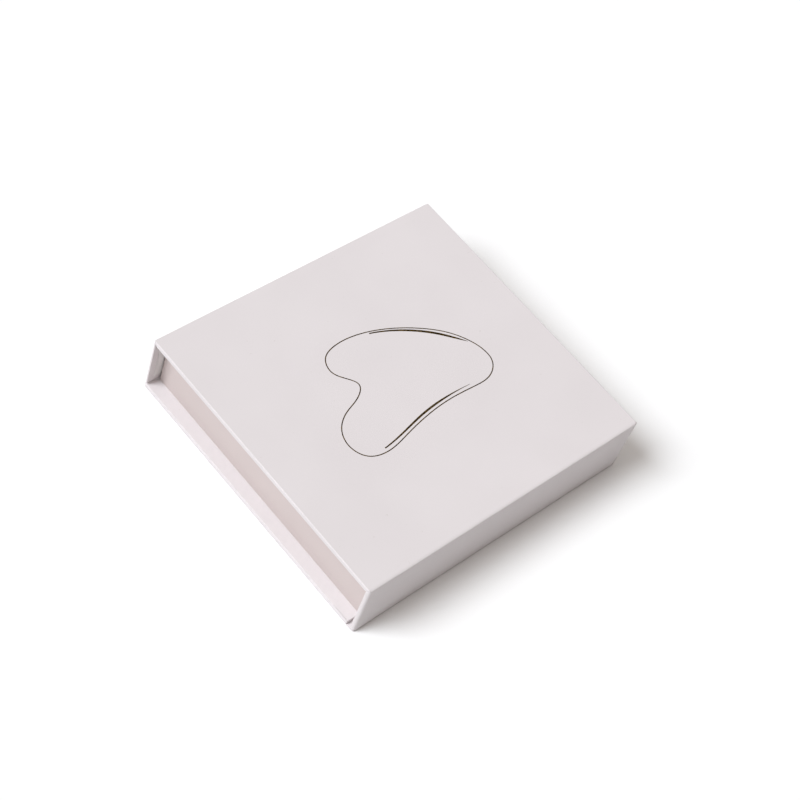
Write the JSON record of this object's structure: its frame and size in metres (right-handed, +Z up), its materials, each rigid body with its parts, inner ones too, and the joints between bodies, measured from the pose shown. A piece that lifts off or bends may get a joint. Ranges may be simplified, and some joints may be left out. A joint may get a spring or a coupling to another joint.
{
  "type": "gua sha scraper gift box",
  "caption": "Flat rigid book-style box with a hinged lid and a magnetic front flap, holding a notched stone gua sha scraper in a cut velvet-faced insert.",
  "frame": {"origin": "under the middle of the closed box, on the table", "axes": "+X along the spine, -Y towards the flap that opens, +Z up through the lid"},
  "size_m": [0.15, 0.1376, 0.0311],
  "materials": {
    "wrap_paper": "matt, very slightly warm white, fine fibre",
    "lining_paper": "matt white lining",
    "greyboard": "raw grey pulp board",
    "stay_tape": "gummed kraft tape",
    "magnet": "nickel-plated",
    "catch_steel": "tin-plated steel",
    "foam": "fine closed-cell foam",
    "velvet": "short-pile velvet",
    "stone": "polished pale rose quartz",
    "gold_foil": "hot-stamped antique gold foil"
  },
  "bodies": {
    "tray": {"base_board": "greyboard", "base_wrap": "wrap_paper", "spine_board": "greyboard", "spine_wrap": "wrap_paper", "spine_liner": "lining_paper", "tray_floor": "greyboard", "tray_front_wall": "greyboard", "tray_back_wall": "greyboard", "tray_left_wall": "greyboard", "tray_right_wall": "greyboard", "catch_plate_left": "catch_steel", "catch_plate_right": "catch_steel", "corner_stay_front_left": "stay_tape", "corner_stay_front_right": "stay_tape", "corner_stay_back_left": "stay_tape", "corner_stay_back_right": "stay_tape", "tray_wrap": "wrap_paper", "insert_pad": "foam", "pad_velvet": "velvet", "insert_frame": "foam", "insert_velvet": "velvet"},
    "lid": {"lid_board": "greyboard", "lid_wrap": "wrap_paper", "lid_liner": "lining_paper", "foil_outline": "gold_foil", "foil_front_stroke": "gold_foil", "foil_back_stroke": "gold_foil"},
    "flap": {"flap_board": "greyboard", "flap_wrap": "wrap_paper", "flap_liner": "lining_paper", "flap_magnet_left": "magnet", "flap_magnet_right": "magnet"},
    "scraper": {"scraper": "stone"}
  },
  "joints": [
    {"name": "lid_hinge", "type": "hinge", "parent": "tray", "child": "lid", "pos_m": [0, 0.0688, 0.0311], "axis": [-1, 0, 0], "range_deg": [0, 175]},
    {"name": "flap_hinge", "type": "hinge", "parent": "lid", "child": "flap", "pos_m": [0, -0.0688, 0.0311], "axis": [-1, 0, 0], "range_deg": [0, 90]},
    {"name": "scraper_lift", "type": "slide", "parent": "tray", "child": "scraper", "axis": [0, 0, 1], "range_m": [0, 0.008]}
  ]
}
